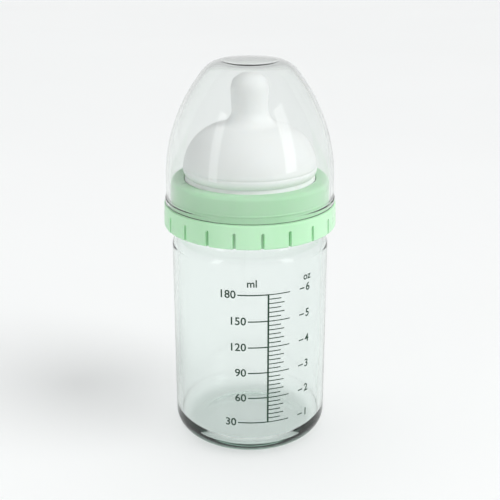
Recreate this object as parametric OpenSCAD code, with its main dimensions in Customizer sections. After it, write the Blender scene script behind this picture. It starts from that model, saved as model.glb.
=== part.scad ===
// Wide-neck baby bottle: clear bottle, printed scale, sealing disc, teat, screw ring and clear dome cap.
// Millimetres, +Z up. The origin is the centre of the face that the bottle stands on.

/* [Bottle] */
// Outer radius of the bottle's straight wall
body_r = 31.5; // [29:0.5:33]
// Height at which the straight wall ends and the shoulder starts
shoulder_z = 82; // [70:1:110]
// Thickness of the bottle's wall
body_wall = 2.1; // [1.6:0.1:2.6]
// Outer radius of the rounded heel
heel_r = 8; // [5:0.5:10]
// How far the middle of the base is pushed up
push_up = 1.8; // [1:0.1:3]
// Height of the inner floor at the heel
floor_z = 4; // [3.5:0.1:6]

/* [Neck] */
// Height from the end of the straight wall to the rim
neck_h = 22; // [21:0.5:26]
// Distance from one thread turn to the next
thread_pitch = 4.5; // [4:0.1:5]
// Turns of thread on the neck, and in the ring
thread_turns = 1.25; // [1:0.05:1.3]
// How far a thread ridge stands out of its wall
thread_depth = 1.2; // [0.8:0.1:1.2]

/* [Screw ring] */
// Outer radius of the ring's skirt
ring_r = 34.5; // [34:0.5:37]
// Height of the skirt, from the ring's foot to the ledge that the cap stands on
skirt_h = 9.5; // [8:0.5:11]
// Thickness of the lip that holds the teat
lip_t = 2.2; // [1.6:0.1:3]
// Number of grip notches around the skirt
notch_count = 20; // [12:4:36]
// Width of a grip notch
notch_w = 1.0; // [0.6:0.1:1.4]

/* [Teat] */
// Widest radius of the teat's mound
mound_r = 26.5; // [26.3:0.1:28]
// Radius of the nipple's narrow neck
nipple_neck_r = 7.2; // [6:0.1:7.4]
// Radius of the nipple's round tip
nipple_tip_r = 7.5; // [7:0.1:8]
// Height of the nipple's tip above the ring
nipple_h = 42; // [38:0.5:42]
// Wall of the silicone
teat_wall = 1.9; // [1.4:0.1:2.2]
// Thickness of the flange under the ring's lip
flange_t = 2.4; // [2:0.1:3]
// Radius of the feeding hole in the tip
feed_hole_r = 0.4; // [0.3:0.05:0.8]

/* [Dome cap] */
// Height of the straight part of the cap that goes over the ring's collar
cap_skirt_h = 9; // [8:0.5:10]
// Height of the arched side above the straight part
cap_arch_h = 43; // [40:0.5:44]
// Radius of the arc that the side follows
cap_arch_r = 68; // [66:1:74]
// Radius of the rounding between the side and the flat top
cap_shoulder_r = 10; // [8:0.5:11]
// Wall of the cap
cap_wall = 1.5; // [1.2:0.1:1.6]

/* [Sealing disc] */
// Thickness of the sealing disc
disc_t = 1.2; // [1:0.1:1.5]
// How far the disc's middle is sunk into the mouth
disc_sink = 2.2; // [1.5:0.1:3]

/* [Printed scale] */
// Thickness of the printed ink
ink_t = 0.08; // [0.05:0.01:0.1]
// Azimuth of the scale's long line, where -90 faces the front
scale_az = -112; // [-180:1:180]
// First labelled volume in millilitres
scale_first = 30; // [30:30:60]
// Last labelled volume in millilitres
scale_last = 180; // [120:30:180]

/* [Hidden] */
$fn = 96;

// Clearances between pieces that move on each other
gap = 0.35;
lip_gap = 0.3;
seat_gap = 0.1;

// Rounding of small edges
edge_r = 0.7;
lip_edge_r = 0.6;

// Bottle, from the heel to the rim
stand_in = 20.5;                         // inner radius of the ring that it stands on
shoulder_r = 5;
shoulder_step = 3.5;                     // how much narrower the neck is than the body
neck_fillet_r = 2.5;
neck_r = body_r - shoulder_step;
rim_z = shoulder_z + neck_h;
shoulder_c = [body_r - shoulder_r, shoulder_z];
neck_fillet_c = [
    neck_r + neck_fillet_r,
    shoulder_z + sqrt(pow(shoulder_r + neck_fillet_r, 2)
                      - pow(neck_r + neck_fillet_r - shoulder_c[0], 2))
];
shoulder_turn = atan2(neck_fillet_c[1] - shoulder_c[1], neck_fillet_c[0] - shoulder_c[0]);
inner_r = body_r - body_wall;
heel_fill = 1.5;                         // how much tighter the heel is rounded inside
inner_heel_r = heel_r - heel_fill;
floor_rise = 1.2;                        // rise of the inner floor's middle
corner_area = 1 - PI / 4;                // what a rounding of radius 1 fills of its corner
corner_middle = (10 - 3 * PI) / (12 - 3 * PI); // how far the middle of that filling is from the walls

// Threads: trapezoid ridges on one right-handed helix, with a narrow vent between the arcs
root_half = 1.1;
crest_half = 0.5;
thread_embed = 0.5;
thread_step = 30;                        // degrees from one arc to the next
arc_spread = 28.8;
thread_arcs = round(thread_turns * 360 / thread_step);
thread_below_rim = 9.8;
neck_thread_z = rim_z - thread_below_rim;
ring_thread_drop = 1.75;                 // the ring's ridge runs this far under the neck's

// Heights of the stack above the rim
disc_z = rim_z + seat_gap;
disc_top = disc_z + disc_t;
flange_top = disc_top + flange_t;
lip_z = flange_top + seat_gap;
ring_top = lip_z + lip_t;

// Screw ring
neck_cover = 13.5;                       // how far the ring reaches down over the neck
collar_t = 2.05;
lip_reach = 1.8;                         // how far the lip reaches inside the neck's outer wall
notch_depth = 2.2;
notch_h = 6.2;
notch_cut = 3;                           // length of the tool that cuts a notch
sleeve_t = 1.9;                          // wall of the threaded sleeve inside the skirt
skirt_t = 1.8;
foot_round = 0.8;
ledge_round = 0.5;
crown_round = 1.6;
bore_chamfer = 0.5;
bead_above_ledge = 2.2;                  // a fine bead on the collar that centres the cap, just clear of it
bead_h = 1;
bead_ramp = 0.3;
bead_out = 0.15;
ring_foot = rim_z - neck_cover;
ledge_z = ring_foot + skirt_h;
ring_bore_r = neck_r + thread_depth + gap;
collar_r = ring_bore_r + collar_t;
lip_r = neck_r - lip_reach;
bead_z = ledge_z + bead_above_ledge;

// Teat
groove_r = lip_r - lip_gap;
flange_r = ring_bore_r - gap;
mound_dome_r = 17.5;
mound_foot_h = 3.5;                      // height of the mound's widest ring above the screw ring
mound_c = [mound_r - mound_dome_r, mound_foot_h];
mound_foot_r = 3;
foot_start = -60;                        // degrees at which the mound's foot and its dome begin
dome_start = 6;
flange_edge = 0.4;
crease_r = 6;                            // concave rounding between the mound and the nipple
crease_c = [
    nipple_neck_r + crease_r,
    mound_c[1] + sqrt(pow(mound_dome_r + crease_r, 2)
                      - pow(nipple_neck_r + crease_r - mound_c[0], 2))
];
crease_turn = atan2(crease_c[1] - mound_c[1], crease_c[0] - mound_c[0]);
tip_c = nipple_h - nipple_tip_r;
vent_r = 0.5;
vent_above_foot = 8;

// Dome cap
cap_inner_r = collar_r + gap;
cap_r = cap_inner_r + cap_wall;
cap_rim_out = 0.4;
cap_rim_h = 1.8;
cap_crown = 0.8;                         // rise of the top's middle
cap_rim_edge = 0.4;
cap_mouth_edge = 0.3;
cap_arch_c = [cap_r - cap_arch_r, cap_skirt_h];
cap_lean = asin(cap_arch_h / cap_arch_r);
cap_shoulder_c = [
    cap_arch_c[0] + (cap_arch_r - cap_shoulder_r) * cos(cap_lean),
    cap_arch_c[1] + (cap_arch_r - cap_shoulder_r) * sin(cap_lean)
];

// Sealing disc
disc_over = 0.1;                         // how far the disc reaches past the neck
disc_edge = 0.4;
dish_slope = 0.5;
tab_l = 14;
tab_w = 1.6;
tab_drop = 0.2;                          // the tab's top stays this far under the disc's rim
rib_radii = [11, 18];
rib_w = 0.8;
rib_h = 0.4;
rib_embed = 0.2;
disc_r = neck_r + disc_over;
plug_r = neck_r - body_wall - lip_gap;
plug_z = disc_z - disc_sink;
dish_z = plug_z + disc_t;
dish_r = plug_r - disc_t;

// Printed scale
ml = 1000;                               // cubic millimetres in a millilitre
fine_step = 5;
ten_step = 10;
label_step = 30;
line_w = 0.7;
tick_w = 0.4;
mark_w = 0.5;
fine_tick = 5.2;                         // how far the ticks reach from the long line
ten_tick = 6.6;
label_tick = 9;
mark_reach = 8;                          // and the marks on its other side, next to the figures
end_mark_reach = 12;
ounce_from = 13.6;                       // the short marks of the second column
ounce_to = 16;
tick_start = line_w / 2 + 0.12;          // a hairline of bare glass parts each tick from the long line
degrees_per_mm = 180 / (PI * body_r);

// Points of an arc about centre c, from angle a0 to a1
function arc(c, r, a0, a1, n = 10) =
    [for (i = [0:n]) let (a = a0 + (a1 - a0) * i / n) [c[0] + r * cos(a), c[1] + r * sin(a)]];

// Radius of a shallow dome that rises by h over the half width w
function dome_radius(w, h) = (w * w + h * h) / (2 * h);

// A shallow dome from the axis, where it is highest, to its edge at [w, z]
function dome(w, z, h, n = 12) =
    let (r = dome_radius(w, h), spread = asin(w / r))
    arc([0, z + h - r], r, 90, 90 - spread, n);

function reversed(points) = [for (i = [len(points) - 1:-1:0]) points[i]];

// The bottle's side from the straight wall to the rim, moved inwards by w
function shoulder_and_neck(w) = concat(
    arc(shoulder_c, shoulder_r - w, 0, shoulder_turn, 8),
    arc(neck_fillet_c, neck_fillet_r + w, shoulder_turn + 180, 180, 6)
);

function bottle_outline() = concat(
    dome(stand_in, 0, push_up),
    arc([body_r - heel_r, heel_r], heel_r, -90, 0, 12),
    shoulder_and_neck(0),
    arc([neck_r - edge_r, rim_z - edge_r], edge_r, 0, 90, 5),
    arc([neck_r - body_wall + edge_r, rim_z - edge_r], edge_r, 90, 180, 5),
    reversed(shoulder_and_neck(body_wall)),
    reversed(arc([inner_r - inner_heel_r, floor_z + inner_heel_r], inner_heel_r, -90, 0, 10)),
    reversed(dome(inner_r - inner_heel_r, floor_z, floor_rise))
);

// Height of the liquid's surface above the outer base
function level(volume) =
    let (
        heel_loss = 2 * PI * (inner_r - corner_middle * inner_heel_r) * corner_area * pow(inner_heel_r, 2),
        dome_loss = PI * floor_rise * pow(inner_r - inner_heel_r, 2) / 2
    )
    floor_z + (volume * ml + heel_loss + dome_loss) / (PI * pow(inner_r, 2));

// A helical ridge as short arcs, each tilted by the helix angle: side is 1 for outwards, -1 for inwards
module thread_ridge(wall_r, z0, side) {
    embed = wall_r - side * thread_embed;
    crest = wall_r + side * thread_depth;
    tilt = atan(thread_pitch / (2 * PI * wall_r));
    for (i = [0:thread_arcs - 1])
        translate([0, 0, z0 + thread_pitch * (i + 0.5) * thread_step / 360])
            rotate([0, 0, (i + 0.5) * thread_step])
            rotate([tilt, 0, 0])
            rotate([0, 0, -arc_spread / 2])
            rotate_extrude(angle = arc_spread)
            polygon([
                [embed, -root_half],
                [crest, -crest_half],
                [crest, crest_half],
                [embed, root_half]
            ]);
}

module bottle_body() {
    color([0.86, 0.93, 0.92, 0.35])
    union() {
        rotate_extrude() polygon(bottle_outline());
        thread_ridge(neck_r, neck_thread_z, 1);
    }
}

// How far a volume's tick reaches
function tick_reach(volume) =
    volume % label_step == 0 ? label_tick : (volume % ten_step == 0 ? ten_tick : fine_tick);

// A curved stroke of ink on the bottle's wall, between two distances in mm from the long line
module stroke(z, from, to, width) {
    rotate([0, 0, scale_az + from * degrees_per_mm])
        rotate_extrude(angle = (to - from) * degrees_per_mm)
            translate([body_r, z - width / 2])
                square([ink_t, width]);
}

module volume_scale() {
    bottom = level(scale_first);
    top = level(scale_last);
    color([0.05, 0.22, 0.12])
    union() {
        stroke((bottom + top) / 2, -line_w / 2, line_w / 2, top - bottom);
        for (v = [scale_first:fine_step:scale_last])
            stroke(level(v), tick_start, tick_reach(v), tick_w);
        for (v = [scale_first:label_step:scale_last]) {
            ending = v == scale_first || v == scale_last;
            stroke(level(v), ending ? -end_mark_reach : -mark_reach, -tick_start, mark_w);
            stroke(level(v), ounce_from, ounce_to, mark_w);
        }
    }
}

function disc_outline() = [
    [0, plug_z],
    [plug_r - edge_r, plug_z],
    [plug_r, plug_z + edge_r],
    [plug_r, disc_z],
    [disc_r, disc_z],
    each arc([disc_r - disc_edge, disc_top - disc_edge], disc_edge, 0, 90, 4),
    [dish_r, disc_top],
    [dish_r - dish_slope, dish_z],
    [0, dish_z]
];

// A round rib on the dish
module disc_rib(r) {
    difference() {
        cylinder(r = r, h = rib_h + rib_embed);
        translate([0, 0, -1]) cylinder(r = r - rib_w, h = rib_h + rib_embed + 2);
    }
}

module sealing_disc() {
    color([0.96, 0.97, 0.96])
    union() {
        rotate_extrude() polygon(disc_outline());
        translate([-tab_l / 2, -tab_w / 2, dish_z - rib_embed])
            cube([tab_l, tab_w, disc_top - tab_drop - dish_z + rib_embed]);
        for (r = rib_radii)
            translate([0, 0, dish_z - rib_embed]) disc_rib(r);
    }
}

// The teat above the ring, moved inwards by w: mound, crease, nipple and tip
function teat_side(w) = let (
    neck_top = tip_c,
    neck_foot = crease_c[1],
    waist = nipple_tip_r - nipple_neck_r
) concat(
    arc([mound_r - mound_foot_r, mound_c[1]], mound_foot_r - w, foot_start, 0, 6),
    arc(mound_c, mound_dome_r - w, dome_start, crease_turn, 16),
    reversed(arc(crease_c, crease_r + w, 180, 180 + crease_turn, 8)),
    [
        for (i = [1:7])
            let (t = i / 8)
            [nipple_neck_r - w + waist * (1 - cos(180 * t)) / 2, neck_foot + (neck_top - neck_foot) * t]
    ],
    arc([0, tip_c], nipple_tip_r - w, 0, 90, 10)
);

function teat_outline() = let (
    inner = teat_side(teat_wall),
    flange_z = disc_top - ring_top,
    groove_z = flange_top - ring_top
) concat(
    [
        [groove_r - teat_wall, flange_z],
        [flange_r - flange_edge, flange_z],
        [flange_r, flange_z + flange_edge],
        [flange_r, groove_z - flange_edge],
        [flange_r - flange_edge, groove_z],
        [groove_r, groove_z]
    ],
    teat_side(0),
    reversed(inner)
);

module teat() {
    color([0.97, 0.97, 0.96])
    translate([0, 0, ring_top])
    difference() {
        rotate_extrude() polygon(teat_outline());
        translate([0, 0, tip_c]) cylinder(r = feed_hole_r, h = nipple_tip_r + 2);
        translate([0, mound_c[0], mound_c[1] + vent_above_foot])
            rotate([-90, 0, 0]) cylinder(r = vent_r, h = mound_r);
    }
}

function ring_outline() = [
    each arc([ring_r - foot_round, ring_foot + foot_round], foot_round, -90, 0, 6),
    each arc([ring_r - foot_round, ledge_z - ledge_round], ledge_round, 0, 90, 5),
    [collar_r, ledge_z],
    [collar_r, bead_z],
    [collar_r + bead_out, bead_z + bead_ramp],
    [collar_r + bead_out, bead_z + bead_h - bead_ramp],
    [collar_r, bead_z + bead_h],
    each arc([collar_r - crown_round, ring_top - crown_round], crown_round, 0, 90, 8),
    each arc([lip_r + lip_edge_r, ring_top - lip_edge_r], lip_edge_r, 90, 180, 5),
    [lip_r, lip_z],
    [ring_bore_r, lip_z],
    [ring_bore_r, ring_foot + 2 * bore_chamfer],
    [ring_bore_r + bore_chamfer, ring_foot + bore_chamfer],
    [ring_bore_r + sleeve_t, ring_foot + bore_chamfer],
    [ring_bore_r + sleeve_t, ledge_z - skirt_t],
    [ring_r - skirt_t, ledge_z - skirt_t],
    [ring_r - skirt_t, ring_foot]
];

// One grip notch, open at the skirt's foot and round at its top
module grip_notch() {
    translate([ring_r - notch_depth, 0, ring_foot + notch_h - notch_w / 2])
        rotate([0, 90, 0]) cylinder(d = notch_w, h = notch_cut);
    translate([ring_r - notch_depth, -notch_w / 2, ring_foot - 1])
        cube([notch_cut, notch_w, notch_h + 1 - notch_w / 2]);
}

module screw_ring() {
    color([0.62, 0.9, 0.66])
    difference() {
        union() {
            rotate_extrude() polygon(ring_outline());
            thread_ridge(ring_bore_r, neck_thread_z - ring_thread_drop, -1);
        }
        for (i = [0:notch_count - 1])
            rotate([0, 0, (i + 0.5) * 360 / notch_count]) grip_notch();
    }
}

// The cap's side above its straight part, moved inwards by w
function cap_side(w) = concat(
    arc(cap_arch_c, cap_arch_r - w, 0, cap_lean, 14),
    arc(cap_shoulder_c, cap_shoulder_r - w, cap_lean, 90, 10)
);

function cap_outline() = concat(
    [
        [cap_inner_r, cap_mouth_edge],
        [cap_inner_r + cap_mouth_edge, 0],
        [cap_r + cap_rim_out - cap_rim_edge, 0],
        [cap_r + cap_rim_out, cap_rim_edge],
        [cap_r + cap_rim_out, cap_rim_h - cap_rim_edge],
        [cap_r, cap_rim_h]
    ],
    cap_side(0),
    reversed(dome(cap_shoulder_c[0], cap_shoulder_c[1] + cap_shoulder_r, cap_crown)),
    dome(cap_shoulder_c[0], cap_shoulder_c[1] + cap_shoulder_r - cap_wall, cap_crown),
    reversed(cap_side(cap_wall))
);

module dome_cap() {
    color([0.9, 0.95, 0.94, 0.35])
    translate([0, 0, ledge_z + seat_gap])
    rotate_extrude() polygon(cap_outline());
}

bottle_body();
volume_scale();
sealing_disc();
teat();
screw_ring();
dome_cap();
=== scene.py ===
"""Looks of the wide-neck baby bottle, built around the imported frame. Metres, +Z up."""
import math

import bmesh
import bpy
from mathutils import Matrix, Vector


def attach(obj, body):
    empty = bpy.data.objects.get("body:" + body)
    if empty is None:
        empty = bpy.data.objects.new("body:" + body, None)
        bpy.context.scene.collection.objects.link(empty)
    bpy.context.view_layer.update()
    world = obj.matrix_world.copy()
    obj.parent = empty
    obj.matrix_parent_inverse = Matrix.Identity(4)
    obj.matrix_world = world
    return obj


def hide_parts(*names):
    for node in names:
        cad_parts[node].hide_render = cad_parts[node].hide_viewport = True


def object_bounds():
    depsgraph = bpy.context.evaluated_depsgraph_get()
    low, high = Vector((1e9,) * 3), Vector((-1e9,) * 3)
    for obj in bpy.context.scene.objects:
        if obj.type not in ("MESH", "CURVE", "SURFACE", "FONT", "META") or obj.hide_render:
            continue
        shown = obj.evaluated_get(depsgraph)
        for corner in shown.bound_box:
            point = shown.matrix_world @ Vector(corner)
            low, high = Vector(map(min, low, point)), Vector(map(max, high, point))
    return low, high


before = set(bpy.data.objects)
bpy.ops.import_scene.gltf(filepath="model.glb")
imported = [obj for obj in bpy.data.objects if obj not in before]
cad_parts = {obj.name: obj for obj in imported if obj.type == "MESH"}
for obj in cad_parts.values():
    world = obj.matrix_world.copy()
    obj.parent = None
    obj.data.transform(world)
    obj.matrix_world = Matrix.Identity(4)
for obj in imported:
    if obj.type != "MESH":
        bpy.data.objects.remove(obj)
CAD_LO, CAD_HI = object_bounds()

MM = 0.001
TAU = 2 * math.pi

# ---------------------------------------------------------------- sizes, in mm, as in the CAD model
# Clearances between pieces that move on each other
GAP = 0.35
LIP_GAP = 0.3
SEAT_GAP = 0.1

# Bottle
BODY_R = 31.5
BODY_WALL = 2.1
HEEL_R = 8.0
HEEL_FILL = 1.5                  # how much tighter the heel is rounded inside
FLOOR_Z = 4.0
FLOOR_RISE = 1.2
PUSH_UP = 1.8
STAND_IN = 20.5                  # inner radius of the ring that it stands on
SHOULDER_Z = 82.0
SHOULDER_R = 5.0
SHOULDER_STEP = 3.5              # how much narrower the neck is than the body
NECK_FILLET_R = 2.5
NECK_R = BODY_R - SHOULDER_STEP
RIM_Z = 104.0
RIM_ROUND = 0.9
RIM_BEAD_DROP = 2.2              # a fine bead runs round the neck this far under the rim
RIM_BEAD_OUT = 0.22

# Threads
PITCH = 4.5
TURNS = 1.25
THREAD_DEPTH = 1.2
ROOT_HALF = 1.1
CREST_HALF = 0.5
CREST_ROUND = 0.1
ROOT_ROUND = 0.05
RUN_OUT = 26                     # degrees over which a ridge grows to its full height
THREAD_BELOW_RIM = 9.8
RING_THREAD_DROP = 1.75          # the ring's ridge runs this far under the neck's
NECK_THREAD_Z = RIM_Z - THREAD_BELOW_RIM
RING_THREAD_Z = NECK_THREAD_Z - RING_THREAD_DROP

# Screw ring, and the disc and the flange that it holds down
RING_R = 34.5
NECK_COVER = 13.5                # how far the ring reaches down over the neck
SKIRT_H = 9.5
SKIRT_T = 1.8
SKIRT_TAPER = 0.25
SEAM_IN = 1.4                    # the ring's section starts and ends here, in its flat foot
SLEEVE_T = 1.9                   # wall of the threaded sleeve inside the skirt
SLEEVE_RISE = 0.5                # the sleeve ends this far above the skirt's foot
COLLAR_T = 2.05
LIP_REACH = 1.8
LIP_T = 2.2
DISC_T = 1.2
FLANGE_T = 2.4
RING_FOOT = RIM_Z - NECK_COVER
LEDGE_Z = RING_FOOT + SKIRT_H
BORE_R = NECK_R + THREAD_DEPTH + GAP
COLLAR_R = BORE_R + COLLAR_T
LIP_R = NECK_R - LIP_REACH
DISC_Z = RIM_Z + SEAT_GAP
DISC_TOP = DISC_Z + DISC_T
FLANGE_TOP = DISC_TOP + FLANGE_T
LIP_Z = FLANGE_TOP + SEAT_GAP
RING_TOP = LIP_Z + LIP_T
BEAD_Z = LEDGE_Z + 2.2           # foot of the bead that centres the cap
BEAD_H = 1.0
BEAD_RAMP = 0.3
BEAD_OUT = 0.15
NOTCHES = 20
NOTCH_W = 1.0
NOTCH_H = 6.2
NOTCH_DEPTH = 1.6

# Sealing disc
DISC_OVER = 0.1                  # how far the disc reaches past the neck
DISC_SINK = 2.2
DISH_IN = 1.7
RIB_OUTER_RADII = (19.0, 12.0)
RIB_W = 1.8
RIB_SLOPE = 0.4
RIB_H = 0.4
TAB_L = 14
TAB_W = 1.6
TAB_H = 2.0
TAB_DROP = 1.2                   # the tab's middle is this far under the disc's top
TAB_BEVEL = 0.45

# Teat, with heights above the ring's top
MOUND_R = 26.5
MOUND_DOME_R = 17.5
MOUND_FOOT_H = 3.5
MOUND_FOOT_R = 3.0
STEP_Z = RING_TOP + 4.6          # a fine step runs round the mound here
STEP_IN = 0.28
STEP_HALF = 0.32
CREASE_R = 6.0
NIPPLE_NECK_R = 7.2
NIPPLE_TIP_R = 7.5
NIPPLE_H = 42.0
TEAT_WALL = 1.9
FEED_TURN = 86.5                 # degrees at which the tip's rounding stops, at the feeding hole

# Dome cap
CAP_WALL = 1.5
CAP_IN_R = COLLAR_R + GAP
CAP_R = CAP_IN_R + CAP_WALL
CAP_SKIRT_H = 9.0
CAP_ARCH_H = 43.0
CAP_ARCH_R = 68.0
CAP_SHOULDER_R = 10.0
CAP_CROWN = 0.8
CAP_RIM_OUT = 0.4
CAP_RIM_H = 1.8
CAP_RIM_SLOPE = 0.3
CAP_Z = LEDGE_Z + SEAT_GAP

# Printed scale, with distances round the wall from its long line
SCALE_AZ = -112.0
FIRST_ML = 30
LAST_ML = 180
FINE_STEP = 5
TEN_STEP = 10
LABEL_STEP = 30
LINE_W = 0.7
TICK_W = 0.4
MARK_W = 0.5
FINE_TICK = 5.2
TEN_TICK = 6.6
LABEL_TICK = 9.0
MARK_REACH = 8.0
END_MARK_REACH = 12.0
OUNCE_FROM = 13.6
OUNCE_TO = 16.0
INK_LIFT = 0.006                 # the ink starts this far off the wall
INK_T = 0.05
FIGURE_SIZE = 4.6
UNIT_SIZE = 4.2
UNIT_RISE = 4.6
FIGURE_T = 0.02
FIGURE_BOLD = 0.07
FIGURE_LIFT = 0.027
FIGURE_GAP = 0.6
OUNCE_GAP = 0.8
ML_AT = -6.4
OZ_AT = 17.4


# ---------------------------------------------------------------- profile helpers
def arc(c, r, a0, a1, n=10):
    """Points on an arc about c, angles in degrees."""
    pts = []
    for i in range(n + 1):
        a = math.radians(a0 + (a1 - a0) * i / n)
        pts.append((c[0] + r * math.cos(a), c[1] + r * math.sin(a)))
    return pts


def dome(w, z, h, n=14):
    """A shallow dome from the axis to its edge at (w, z)."""
    r = (w * w + h * h) / (2 * h)
    return arc((0, z + h - r), r, 90, 90 - math.degrees(math.asin(w / r)), n)


def rounded(corners, steps):
    """A polyline from (x, z, fillet radius) corners, each corner rounded by its own radius."""
    out = []
    last = len(corners) - 1
    for i, (x, z, r) in enumerate(corners):
        if r <= 0 or i in (0, last):
            out.append((x, z))
            continue
        corner = Vector((x, z))
        before = (Vector(corners[i - 1][:2]) - corner).normalized()
        after = (Vector(corners[i + 1][:2]) - corner).normalized()
        turn = before.angle(after)
        back = r / math.tan(turn / 2)
        centre = corner + (before + after).normalized() * (r / math.sin(turn / 2))
        first = corner + before * back - centre
        final = corner + after * back - centre
        spread = first.angle(final)
        for k in range(steps + 1):
            t = k / steps
            v = (first * math.sin((1 - t) * spread) + final * math.sin(t * spread)) / math.sin(spread)
            out.append((centre.x + v.x, centre.y + v.y))
    return out


def dense(points, step, keep):
    """Splits the runs of a profile where keep(x, z) is true, so that a pattern can be laid on them."""
    out = [points[0]]
    for p, q in zip(points, points[1:]):
        parts = max(1, math.ceil(math.dist(p, q) / step)) if keep(*p) and keep(*q) else 1
        for k in range(1, parts + 1):
            out.append((p[0] + (q[0] - p[0]) * k / parts, p[1] + (q[1] - p[1]) * k / parts))
    return out


def without_repeats(points):
    out = []
    for p in points:
        if not out or math.dist(out[-1], p) > 1e-4:
            out.append(p)
    return out


def smoothstep(a, b, x):
    t = min(1.0, max(0.0, (x - a) / (b - a)))
    return t * t * (3 - 2 * t)


def lathe(name, profile, columns, shape=None, closed=False, sharp=38):
    """Revolves a profile given in mm. shape(r, z, angle) may move a point; a point at r = 0 is a pole.

    columns is a number of even steps or a list of angles. closed joins the last row to the first.
    """
    angles = columns if isinstance(columns, list) else [TAU * i / columns for i in range(columns)]
    bm = bmesh.new()
    rows = []
    for r, z in without_repeats(profile):
        if r < 1e-6:
            rows.append([bm.verts.new((0, 0, z * MM))])
            continue
        row = []
        for a in angles:
            rr, zz = shape(r, z, a) if shape else (r, z)
            row.append(bm.verts.new((rr * math.cos(a) * MM, rr * math.sin(a) * MM, zz * MM)))
        rows.append(row)
    pairs = list(zip(rows, rows[1:]))
    if closed:
        pairs.append((rows[-1], rows[0]))
    n = len(angles)
    for lo, hi in pairs:
        for i in range(n):
            j = (i + 1) % n
            if len(lo) == 1 and len(hi) == 1:
                continue
            if len(lo) == 1:
                bm.faces.new((lo[0], hi[i], hi[j]))
            elif len(hi) == 1:
                bm.faces.new((lo[i], hi[0], lo[j]))
            else:
                bm.faces.new((lo[i], hi[i], hi[j], lo[j]))
    bmesh.ops.recalc_face_normals(bm, faces=bm.faces)
    return finish_mesh(name, bm, sharp)


def finish_mesh(name, bm, sharp=38):
    """Makes an object of a bmesh, smooth but for edges sharper than so many degrees."""
    mesh = bpy.data.meshes.new(name)
    bm.to_mesh(mesh)
    bm.free()
    mesh.polygons.foreach_set("use_smooth", [True] * len(mesh.polygons))
    mesh.set_sharp_from_angle(angle=math.radians(sharp))
    obj = bpy.data.objects.new(name, mesh)
    bpy.context.scene.collection.objects.link(obj)
    return obj


def thread(z, angle, z0):
    """How far a thread ridge stands out here, 0 to 1: a trapezoid on a right-handed helix with run-outs."""
    height = 0.0
    a = math.degrees(angle) % 360
    full = 360 * TURNS
    while a <= full:
        lead = min(1.0, a / RUN_OUT, (full - a) / RUN_OUT)
        d = abs(z - (z0 + PITCH * a / 360))
        ridge = 1 - smoothstep(CREST_HALF - CREST_ROUND, ROOT_HALF + ROOT_ROUND, d)
        height = max(height, ridge * smoothstep(0, 1, lead))
        a += 360
    return height


# ---------------------------------------------------------------- materials
def material(name):
    mat = bpy.data.materials.new(name)
    mat.use_nodes = True
    nt = mat.node_tree
    nt.nodes.clear()
    out = nt.nodes.new("ShaderNodeOutputMaterial")
    bsdf = nt.nodes.new("ShaderNodeBsdfPrincipled")
    nt.links.new(bsdf.outputs["BSDF"], out.inputs["Surface"])
    return mat, nt, bsdf


def put(bsdf, **values):
    names = {
        "color": "Base Color", "rough": "Roughness", "ior": "IOR", "trans": "Transmission Weight",
        "sss": "Subsurface Weight", "sss_radius": "Subsurface Radius", "sss_scale": "Subsurface Scale",
        "spec": "Specular IOR Level",
    }
    for key, value in values.items():
        bsdf.inputs[names[key]].default_value = value


def noise(nt, scale, detail=4.0, rough=0.55, stretch=None, distortion=0.0):
    coord = nt.nodes.new("ShaderNodeTexCoord")
    tex = nt.nodes.new("ShaderNodeTexNoise")
    tex.inputs["Scale"].default_value = scale
    tex.inputs["Detail"].default_value = detail
    tex.inputs["Roughness"].default_value = rough
    tex.inputs["Distortion"].default_value = distortion
    vector = coord.outputs["Object"]
    if stretch:
        mapping = nt.nodes.new("ShaderNodeMapping")
        mapping.inputs["Scale"].default_value = stretch
        nt.links.new(vector, mapping.inputs["Vector"])
        vector = mapping.outputs["Vector"]
    nt.links.new(vector, tex.inputs["Vector"])
    return tex.outputs["Fac"]


def span(nt, value, lo, hi, from_lo=0.3, from_hi=0.7):
    node = nt.nodes.new("ShaderNodeMapRange")
    node.inputs["From Min"].default_value = from_lo
    node.inputs["From Max"].default_value = from_hi
    node.inputs["To Min"].default_value = lo
    node.inputs["To Max"].default_value = hi
    nt.links.new(value, node.inputs["Value"])
    return node.outputs["Result"]


def two_tone(nt, value, first, second):
    ramp = nt.nodes.new("ShaderNodeValToRGB")
    ramp.color_ramp.elements[0].position = 0.35
    ramp.color_ramp.elements[0].color = (*first, 1)
    ramp.color_ramp.elements[1].position = 0.65
    ramp.color_ramp.elements[1].color = (*second, 1)
    nt.links.new(value, ramp.inputs["Fac"])
    return ramp.outputs["Color"]


def bump(nt, bsdf, layers):
    """Stacks bump maps: (height, strength, distance in mm)."""
    normal = None
    for height, strength, distance in layers:
        node = nt.nodes.new("ShaderNodeBump")
        node.inputs["Strength"].default_value = strength
        node.inputs["Distance"].default_value = distance * MM
        nt.links.new(height, node.inputs["Height"])
        if normal is not None:
            nt.links.new(normal, node.inputs["Normal"])
        normal = node.outputs["Normal"]
    nt.links.new(normal, bsdf.inputs["Normal"])


def clear_material(name, tint, ior, rough_lo, rough_hi, wave, through, density):
    """Clear stock whose colour shows where light goes a long way through it, as at the edges."""
    mat, nt, bsdf = material(name)
    put(bsdf, color=(*tint, 1), ior=ior, trans=1.0)
    depth = nt.nodes.new("ShaderNodeVolumeAbsorption")
    depth.inputs["Color"].default_value = (*through, 1)
    depth.inputs["Density"].default_value = density
    nt.links.new(depth.outputs["Volume"], nt.nodes["Material Output"].inputs["Volume"])
    smudge = noise(nt, 45, 5, 0.6, distortion=0.4)
    nt.links.new(span(nt, smudge, rough_lo, rough_hi, 0.42, 0.72), bsdf.inputs["Roughness"])
    slow = noise(nt, 38, 2, 0.4, stretch=(1, 1, 0.35))
    bump(nt, bsdf, [(slow, wave, 0.35)])
    return mat


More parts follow.
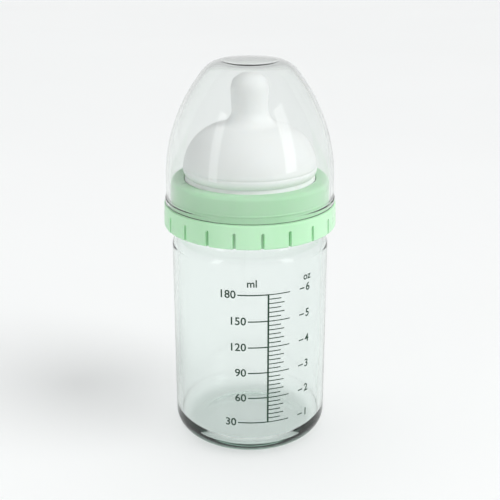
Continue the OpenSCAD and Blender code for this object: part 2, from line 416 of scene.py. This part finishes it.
glass = clear_material("clear_glass", (0.975, 0.99, 0.985), 1.49, 0.0, 0.035, 0.10, (0.45, 0.70, 0.59), 34)
clear_plastic = clear_material("clear_plastic", (0.995, 1.0, 0.998), 1.46, 0.01, 0.05, 0.14,
                               (0.50, 0.66, 0.58), 38)

# Light green polypropylene: satin gloss, a trace of flow marks, light passing into thin edges
ring_mat, nt, bsdf = material("green_pp")
put(bsdf, rough=0.32, ior=1.49, sss=0.25, sss_radius=(0.35, 1.0, 0.45), sss_scale=1.6 * MM, spec=0.5)
flow = noise(nt, 70, 4, 0.5, stretch=(1, 1, 0.3))
nt.links.new(two_tone(nt, flow, (0.470, 0.780, 0.500), (0.520, 0.815, 0.550)), bsdf.inputs["Base Color"])
nt.links.new(span(nt, noise(nt, 160, 5), 0.27, 0.40), bsdf.inputs["Roughness"])
bump(nt, bsdf, [(noise(nt, 120, 2, 0.4), 0.12, 0.2), (noise(nt, 2600, 2, 0.5), 0.10, 0.02)])

# White silicone: deep soft scatter, silky surface with a very fine grain
silicone, nt, bsdf = material("white_silicone")
put(bsdf, rough=0.4, ior=1.42, sss=0.3, sss_radius=(1.0, 0.93, 0.86), sss_scale=1.4 * MM, spec=0.45)
cloud = noise(nt, 55, 3, 0.5)
nt.links.new(two_tone(nt, cloud, (0.87, 0.88, 0.875), (0.895, 0.905, 0.90)), bsdf.inputs["Base Color"])
nt.links.new(span(nt, noise(nt, 210, 4), 0.33, 0.47), bsdf.inputs["Roughness"])
bump(nt, bsdf, [(noise(nt, 90, 2, 0.4), 0.10, 0.25), (noise(nt, 3400, 2, 0.6), 0.16, 0.02)])

# White polypropylene of the sealing disc
disc_mat, nt, bsdf = material("white_pp")
put(bsdf, rough=0.4, ior=1.49, sss=0.2, sss_radius=(1.0, 0.98, 0.95), sss_scale=1.5 * MM)
nt.links.new(two_tone(nt, noise(nt, 60, 3), (0.86, 0.87, 0.86), (0.90, 0.91, 0.90)),
             bsdf.inputs["Base Color"])
nt.links.new(span(nt, noise(nt, 180, 4), 0.34, 0.48), bsdf.inputs["Roughness"])
bump(nt, bsdf, [(noise(nt, 2400, 2, 0.5), 0.12, 0.02)])

# Dark green printing ink, a little thinner in places
ink, nt, bsdf = material("scale_ink")
put(bsdf, rough=0.5, ior=1.5, spec=0.35)
nt.links.new(two_tone(nt, noise(nt, 900, 3), (0.006, 0.030, 0.016), (0.014, 0.055, 0.030)),
             bsdf.inputs["Base Color"])
nt.links.new(span(nt, noise(nt, 500, 3), 0.42, 0.6), bsdf.inputs["Roughness"])
bump(nt, bsdf, [(noise(nt, 3000, 2), 0.15, 0.01)])


def dress(obj, mat, body, slot, *nodes):
    obj.data.materials.clear()
    obj.data.materials.append(mat)
    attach(obj, body)
    if nodes:
        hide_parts(*nodes)


# ---------------------------------------------------------------- bottle
shoulder_c = (BODY_R - SHOULDER_R, SHOULDER_Z)
fillet_x = NECK_R + NECK_FILLET_R
fillet_rise = math.sqrt((SHOULDER_R + NECK_FILLET_R) ** 2 - (fillet_x - shoulder_c[0]) ** 2)
fillet_c = (fillet_x, SHOULDER_Z + fillet_rise)
shoulder_turn = math.degrees(math.atan2(fillet_c[1] - shoulder_c[1], fillet_c[0] - shoulder_c[0]))


def shoulder_and_neck(w):
    """The bottle's side from the straight wall to the neck, moved inwards by w."""
    return (arc(shoulder_c, SHOULDER_R - w, 0, shoulder_turn, 12)
            + arc(fillet_c, NECK_FILLET_R + w, shoulder_turn + 180, 180, 10))


inner_heel = HEEL_R - HEEL_FILL
inner_r = BODY_R - BODY_WALL
outer_wall = (
    dome(STAND_IN, 0, PUSH_UP, 22)
    + arc((BODY_R - HEEL_R, HEEL_R), HEEL_R, -90, 0, 22)
    + shoulder_and_neck(0)
    + arc((NECK_R - RIM_ROUND, RIM_Z - RIM_ROUND), RIM_ROUND, 0, 90, 8)
)
inner_wall = (
    arc((NECK_R - BODY_WALL + RIM_ROUND, RIM_Z - RIM_ROUND), RIM_ROUND, 90, 180, 8)
    + shoulder_and_neck(BODY_WALL)[::-1]
    + arc((inner_r - inner_heel, FLOOR_Z + inner_heel), inner_heel, -90, 0, 18)[::-1]
    + dome(inner_r - inner_heel, FLOOR_Z, FLOOR_RISE, 18)[::-1]
)


def bottle_shape(r, z, a):
    """The thread and a fine bead above it, moulded into the outside of the neck."""
    if z > fillet_c[1] and abs(r - NECK_R) < 0.02 and z < RIM_Z - 1:
        r += THREAD_DEPTH * thread(z, a, NECK_THREAD_Z)
        r += RIM_BEAD_OUT * (1 - smoothstep(0.3, 0.7, abs(z - (RIM_Z - RIM_BEAD_DROP))))
    return r, z


def on_neck(x, z):
    return z > fillet_c[1] - 0.1 and x > NECK_R - 0.5


bottle = lathe("bottle_glass", dense(outer_wall, 0.28, on_neck) + inner_wall, 176, bottle_shape)
dress(bottle, glass, "bottle", "bottle_clear", "bottle_body")
# A clear piece that cast a shadow would darken the floor and the teat too much
bottle.visible_shadow = False


# ---------------------------------------------------------------- printed scale
# A rounding of radius 1 fills this much of its corner, with its middle this far from the walls
CORNER_AREA = 0.2146
CORNER_MIDDLE = 0.2234
INNER_AREA = math.pi * inner_r ** 2
HEEL_LOSS = TAU * (inner_r - CORNER_MIDDLE * inner_heel) * CORNER_AREA * inner_heel ** 2
DOME_LOSS = math.pi * FLOOR_RISE * (inner_r - inner_heel) ** 2 / 2


def level(volume):
    """Height of the liquid's surface for a volume in millilitres."""
    return FLOOR_Z + (volume * 1000 + HEEL_LOSS + DOME_LOSS) / INNER_AREA


def on_wall(x, z, lift):
    """A point x mm round the wall from the scale's long line."""
    a = math.radians(SCALE_AZ) + x / BODY_R
    r = BODY_R + lift
    return r * math.cos(a) * MM, r * math.sin(a) * MM, z * MM


def stroke(bm, x0, x1, z0, z1):
    """A thin raised bar of ink that follows the wall, closed all round."""
    section = ((z0, INK_LIFT), (z0, INK_T), (z1, INK_T), (z1, INK_LIFT))
    steps = max(1, math.ceil(abs(x1 - x0) / 0.7))
    rings = []
    for i in range(steps + 1):
        x = x0 + (x1 - x0) * i / steps
        rings.append([bm.verts.new(on_wall(x, z, lift)) for z, lift in section])
    for p, q in zip(rings, rings[1:]):
        for k in range(4):
            bm.faces.new((p[k], p[(k + 1) % 4], q[(k + 1) % 4], q[k]))
    bm.faces.new(rings[0][::-1])
    bm.faces.new(rings[-1])


def lettering(bm, words, x, z, size, anchor="LEFT"):
    """Plain figures wrapped on the wall."""
    curve = bpy.data.curves.new("figures", "FONT")
    curve.body = words
    curve.size = size
    curve.align_x = anchor
    curve.align_y = "CENTER"
    curve.extrude = FIGURE_T
    curve.offset = FIGURE_BOLD
    curve.resolution_u = 4
    holder = bpy.data.objects.new("figures", curve)
    bpy.context.scene.collection.objects.link(holder)
    bpy.context.view_layer.update()
    flat = bpy.data.meshes.new_from_object(holder.evaluated_get(bpy.context.evaluated_depsgraph_get()))
    for v in flat.vertices:
        v.co = on_wall(x + v.co.x, z + v.co.y, FIGURE_LIFT + v.co.z)
    bm.from_mesh(flat)
    bpy.data.objects.remove(holder)
    bpy.data.curves.remove(curve)
    bpy.data.meshes.remove(flat)


def tick_length(volume):
    if volume % LABEL_STEP == 0:
        return LABEL_TICK
    return TEN_TICK if volume % TEN_STEP == 0 else FINE_TICK


bm = bmesh.new()
half_mark = MARK_W / 2
half_tick = TICK_W / 2
low = level(FIRST_ML)
high = level(LAST_ML)
stroke(bm, -LINE_W / 2, LINE_W / 2, low - half_mark, high + half_mark)
for v in range(FIRST_ML, LAST_ML + 1, FINE_STEP):
    stroke(bm, LINE_W / 2, tick_length(v), level(v) - half_tick, level(v) + half_tick)
for v in range(FIRST_ML, LAST_ML + 1, LABEL_STEP):
    reach = END_MARK_REACH if v in (FIRST_ML, LAST_ML) else MARK_REACH
    stroke(bm, -reach, -LINE_W / 2, level(v) - half_mark, level(v) + half_mark)
    lettering(bm, str(v), -reach - FIGURE_GAP, level(v), FIGURE_SIZE, "RIGHT")
    stroke(bm, OUNCE_FROM, OUNCE_TO, level(v) - half_mark, level(v) + half_mark)
    lettering(bm, str(v // LABEL_STEP), OUNCE_TO + OUNCE_GAP, level(v), FIGURE_SIZE)
lettering(bm, "ml", ML_AT, high + UNIT_RISE, UNIT_SIZE, "CENTER")
lettering(bm, "oz", OZ_AT, high + UNIT_RISE, UNIT_SIZE, "CENTER")
bmesh.ops.recalc_face_normals(bm, faces=bm.faces)
scale = finish_mesh("scale_print", bm)
dress(scale, ink, "bottle", "scale_ink", "volume_scale")


# ---------------------------------------------------------------- sealing disc
plug_r = NECK_R - BODY_WALL - LIP_GAP
disc_r = NECK_R + DISC_OVER
sink = DISC_Z - DISC_SINK
dish = sink + DISC_T


def rib(outer):
    """A round rib on the dish with sloping sides, from its outer radius inwards."""
    crest = dish + RIB_H
    return [
        (outer, dish, 0.15), (outer - RIB_SLOPE, crest, 0.12),
        (outer - RIB_W + RIB_SLOPE, crest, 0.12), (outer - RIB_W, dish, 0.15),
    ]


disc_corners = [
    (0, sink, 0), (plug_r, sink, 0.7), (plug_r, DISC_Z, 0.15), (disc_r, DISC_Z, 0.25),
    (disc_r, DISC_TOP, 0.4), (plug_r - DISC_T, DISC_TOP, 0.3), (plug_r - DISH_IN, dish, 0.3),
]
for outer in RIB_OUTER_RADII:
    disc_corners += rib(outer)
disc_corners.append((0, dish, 0))
disc = lathe("disc_shell", rounded(disc_corners, 3), 128)
dress(disc, disc_mat, "teat_and_disc", "disc_white", "sealing_disc")

bm = bmesh.new()
bmesh.ops.create_cube(bm, size=1)
for v in bm.verts:
    v.co = Vector((v.co.x * TAB_L, v.co.y * TAB_W, v.co.z * TAB_H)) * MM
bmesh.ops.bevel(bm, geom=list(bm.edges), offset=TAB_BEVEL * MM, segments=4, affect="EDGES", profile=0.5)
for v in bm.verts:
    v.co.z += (DISC_TOP - TAB_DROP) * MM
tab = finish_mesh("disc_tab", bm)
dress(tab, disc_mat, "teat_and_disc", "disc_white")


# ---------------------------------------------------------------- teat
mound_c = (MOUND_R - MOUND_DOME_R, MOUND_FOOT_H)
crease_x = NIPPLE_NECK_R + CREASE_R
crease_rise = math.sqrt((MOUND_DOME_R + CREASE_R) ** 2 - (crease_x - mound_c[0]) ** 2)
crease_c = (crease_x, mound_c[1] + crease_rise)
crease_turn = math.degrees(math.atan2(crease_c[1] - mound_c[1], crease_c[0] - mound_c[0]))
tip_z = NIPPLE_H - NIPPLE_TIP_R


def teat_side(w):
    """The teat above the ring, moved inwards by w: mound, crease, nipple and tip."""
    waist = NIPPLE_TIP_R - NIPPLE_NECK_R
    side = arc((MOUND_R - MOUND_FOOT_R, mound_c[1]), MOUND_FOOT_R - w, -60, 0, 10)
    side += arc(mound_c, MOUND_DOME_R - w, 1.5, crease_turn, 44)
    side += arc(crease_c, CREASE_R + w, 180, 180 + crease_turn, 16)[::-1]
    for i in range(1, 14):
        t = i / 14
        side.append((NIPPLE_NECK_R - w + waist * (1 - math.cos(math.pi * t)) / 2,
                     crease_c[1] + (tip_z - crease_c[1]) * t))
    side += arc((0, tip_z), NIPPLE_TIP_R - w, 0, FEED_TURN, 18)
    return side


flange_z = DISC_TOP - RING_TOP
groove_z = FLANGE_TOP - RING_TOP
groove_r = LIP_R - LIP_GAP
flange_r = BORE_R - GAP
flange = rounded([
    (groove_r - TEAT_WALL, flange_z, 0), (flange_r, flange_z, 0.4), (flange_r, groove_z, 0.4),
    (groove_r, groove_z, 0.15), (groove_r, -0.2, 0),
], 4)
outside = [(r, z + RING_TOP) for r, z in flange + teat_side(0)]
inside = [(r, z + RING_TOP) for r, z in teat_side(TEAT_WALL)[::-1]]
inside += [(groove_r - TEAT_WALL, groove_z + RING_TOP)]


def teat_shape(r, z, a):
    """A fine step round the mound's foot."""
    if r > MOUND_R - 2.2 and abs(z - STEP_Z) < 1.5:
        r -= STEP_IN * math.exp(-((z - STEP_Z) / STEP_HALF) ** 2)
    return r, z


def on_mound_foot(x, z):
    return x > 20 and z > RING_TOP


teat = lathe("teat_silicone", dense(outside, 0.5, on_mound_foot) + inside, 144, teat_shape, closed=True)
dress(teat, silicone, "teat_and_disc", "teat_silicone", "teat")


# ---------------------------------------------------------------- screw ring
def ring_columns():
    """Azimuths, close together where a notch is cut and wide apart between notches."""
    pitch = TAU / NOTCHES
    near = 0.85 / RING_R
    out = []
    for k in range(NOTCHES):
        mid = (k + 0.5) * pitch
        out += [mid - near + 2 * near * i / 10 for i in range(11)]
        rest = pitch - 2 * near
        out += [mid + near + rest * i / 6 for i in range(1, 6)]
    return sorted(x % TAU for x in out)


sleeve_r = BORE_R + SLEEVE_T
sleeve_foot = RING_FOOT + SLEEVE_RISE
groove_top = LEDGE_Z - SKIRT_T
ring_profile = rounded([
    (RING_R - SEAM_IN, RING_FOOT, 0), (RING_R, RING_FOOT, 0.7), (RING_R - SKIRT_TAPER, LEDGE_Z, 0.55),
    (COLLAR_R, LEDGE_Z, 0.3), (COLLAR_R, BEAD_Z, 0.15), (COLLAR_R + BEAD_OUT, BEAD_Z + BEAD_RAMP, 0.15),
    (COLLAR_R + BEAD_OUT, BEAD_Z + BEAD_H - BEAD_RAMP, 0.15), (COLLAR_R, BEAD_Z + BEAD_H, 0.15),
    (COLLAR_R, RING_TOP, 1.6), (LIP_R, RING_TOP, 0.7), (LIP_R, LIP_Z, 0.15), (BORE_R, LIP_Z, 0.3),
    (BORE_R, sleeve_foot, 0.4), (sleeve_r, sleeve_foot, 0.3), (sleeve_r, groove_top, 0.3),
    (RING_R - SKIRT_T, groove_top, 0.3), (RING_R - SKIRT_T, RING_FOOT, 0.25),
    (RING_R - SEAM_IN, RING_FOOT, 0),
], 5)


def ring_shape(r, z, a):
    """The grip notches in the skirt and the thread in the sleeve."""
    pitch = TAU / NOTCHES
    if r > RING_R - NOTCH_DEPTH and z < LEDGE_Z - 1.2:
        off = ((a / pitch) % 1.0 - 0.5) * pitch * RING_R
        top = RING_FOOT + NOTCH_H - NOTCH_W / 2
        d = math.hypot(off, max(0.0, z - top))
        r -= NOTCH_DEPTH * (1 - smoothstep(NOTCH_W / 2 - 0.16, NOTCH_W / 2 + 0.14, d))
    if abs(r - BORE_R) < 0.02 and RING_FOOT + 1 < z < LIP_Z - 0.3:
        r -= THREAD_DEPTH * thread(z, a, RING_THREAD_Z)
    return r, z


def on_skirt_or_bore(x, z):
    on_skirt = x > RING_R - 0.6 and z < LEDGE_Z - 0.3
    on_bore = abs(x - BORE_R) < 0.1 and RING_FOOT + 0.8 < z < LIP_Z - 0.2
    return on_skirt or on_bore


ring = lathe("ring_shell", dense(ring_profile, 0.36, on_skirt_or_bore)[:-1], ring_columns(), ring_shape,
             closed=True, sharp=50)
dress(ring, ring_mat, "ring", "ring_green", "screw_ring")


# ---------------------------------------------------------------- dome cap
arch_c = (CAP_R - CAP_ARCH_R, CAP_SKIRT_H)
lean = math.degrees(math.asin(CAP_ARCH_H / CAP_ARCH_R))
shoulder_out = CAP_ARCH_R - CAP_SHOULDER_R
cap_shoulder_c = (arch_c[0] + shoulder_out * math.cos(math.radians(lean)),
                  arch_c[1] + shoulder_out * math.sin(math.radians(lean)))


def cap_side(w):
    """The cap's side above its straight part, moved inwards by w."""
    return (arc(arch_c, CAP_ARCH_R - w, 0, lean, 36)
            + arc(cap_shoulder_c, CAP_SHOULDER_R - w, lean, 90, 18))


cap_rim_r = CAP_R + CAP_RIM_OUT
cap_rim = rounded([
    (CAP_IN_R, 1.5, 0), (CAP_IN_R, 0, 0.3), (cap_rim_r, 0, 0.35), (cap_rim_r, CAP_RIM_H, 0.4),
    (CAP_R, CAP_RIM_H + CAP_RIM_SLOPE, 0.3), (CAP_R, 4.0, 0),
], 5)
cap_top = cap_shoulder_c[1] + CAP_SHOULDER_R
# The outer skin ends at the axis, the inner one starts there, and the last row joins the first at the rim
cap_profile = cap_rim + cap_side(0) + dome(cap_shoulder_c[0], cap_top, CAP_CROWN)[::-1]
cap_profile += dome(cap_shoulder_c[0], cap_top - CAP_WALL, CAP_CROWN) + cap_side(CAP_WALL)[::-1]
cap_profile = [(r, z + CAP_Z) for r, z in cap_profile]
cap = lathe("cap_clear", cap_profile, 160, closed=True)
dress(cap, clear_plastic, "cap", "cap_clear", "dome_cap")
cap.visible_shadow = False

# ---------------------------------------------------------------- floor, lights and camera
floor_mat, nt, bsdf = material("pale_floor")
put(bsdf, rough=0.65, spec=0.25)
nt.links.new(two_tone(nt, noise(nt, 3, 3), (0.945, 0.95, 0.95), (0.955, 0.96, 0.96)),
             bsdf.inputs["Base Color"])
bm = bmesh.new()
bmesh.ops.create_circle(bm, cap_ends=True, radius=40, segments=96)
floor = finish_mesh("floor", bm)
floor.location.z = CAD_LO.z - 0.0002
floor.data.materials.append(floor_mat)

world = bpy.data.worlds.new("studio")
bpy.context.scene.world = world
world.use_nodes = True
wt = world.node_tree
wt.nodes.clear()
w_out = wt.nodes.new("ShaderNodeOutputWorld")
w_bg = wt.nodes.new("ShaderNodeBackground")
w_coord = wt.nodes.new("ShaderNodeTexCoord")
w_split = wt.nodes.new("ShaderNodeSeparateXYZ")
w_ramp = wt.nodes.new("ShaderNodeValToRGB")
w_ramp.color_ramp.elements[0].position = 0.0
w_ramp.color_ramp.elements[0].color = (1, 1, 1, 1)
w_ramp.color_ramp.elements[1].position = 0.4
w_ramp.color_ramp.elements[1].color = (0.73, 0.74, 0.74, 1)
w_bg.inputs["Strength"].default_value = 0.84
wt.links.new(w_coord.outputs["Generated"], w_split.inputs["Vector"])
wt.links.new(w_split.outputs["Z"], w_ramp.inputs["Fac"])
wt.links.new(w_ramp.outputs["Color"], w_bg.inputs["Color"])
wt.links.new(w_bg.outputs["Background"], w_out.inputs["Surface"])

MID = Vector((0, 0, (CAD_LO.z + CAD_HI.z) / 2))


def softbox(name, place, size, power):
    """An upright panel that draws a streak on the clear pieces."""
    light = bpy.data.lights.new(name, "AREA")
    light.shape = "RECTANGLE"
    light.size, light.size_y = size
    light.energy = power
    obj = bpy.data.objects.new(name, light)
    bpy.context.scene.collection.objects.link(obj)
    obj.location = place
    obj.rotation_euler = (MID - place).to_track_quat("-Z", "Y").to_euler()
    obj.visible_camera = False


AZ = math.radians(-35)
EL = math.radians(20)
CAMERA_DISTANCE = 0.398
toward = Vector((math.sin(AZ) * math.cos(EL), -math.cos(AZ) * math.cos(EL), math.sin(EL)))
camera = bpy.data.objects.new("camera", bpy.data.cameras.new("camera"))
bpy.context.scene.collection.objects.link(camera)
camera.data.lens = 70
camera.data.sensor_width = 36
camera.data.clip_start = 0.01
camera.location = MID + toward * CAMERA_DISTANCE
camera.rotation_euler = (MID - camera.location).to_track_quat("-Z", "Y").to_euler()
bpy.context.scene.camera = camera

# Lights: a broad soft sun from the camera's right, and two softboxes that draw streaks on the clear pieces
right = Vector((math.cos(AZ), math.sin(AZ), 0))
front = Vector((math.sin(AZ), -math.cos(AZ), 0))


def sun(name, sideways, forwards, up, strength, spread):
    light = bpy.data.lights.new(name, "SUN")
    light.energy = strength
    light.angle = math.radians(spread)
    obj = bpy.data.objects.new(name, light)
    bpy.context.scene.collection.objects.link(obj)
    towards_sun = right * sideways + front * forwards + Vector((0, 0, up))
    obj.rotation_euler = towards_sun.to_track_quat("Z", "Y").to_euler()
    obj.visible_glossy = False
    obj.visible_transmission = False


sun("key", 1.0, 0.42, 1.15, 1.48, 32)
softbox("left_box", MID - right * 0.50 + front * 0.42 + Vector((0, 0, 0.22)), (0.15, 0.55), 0.35)
softbox("right_box", MID + right * 0.52 + front * 0.34 + Vector((0, 0, 0.26)), (0.20, 0.50), 0.42)

bpy.context.scene.view_settings.view_transform = "Standard"
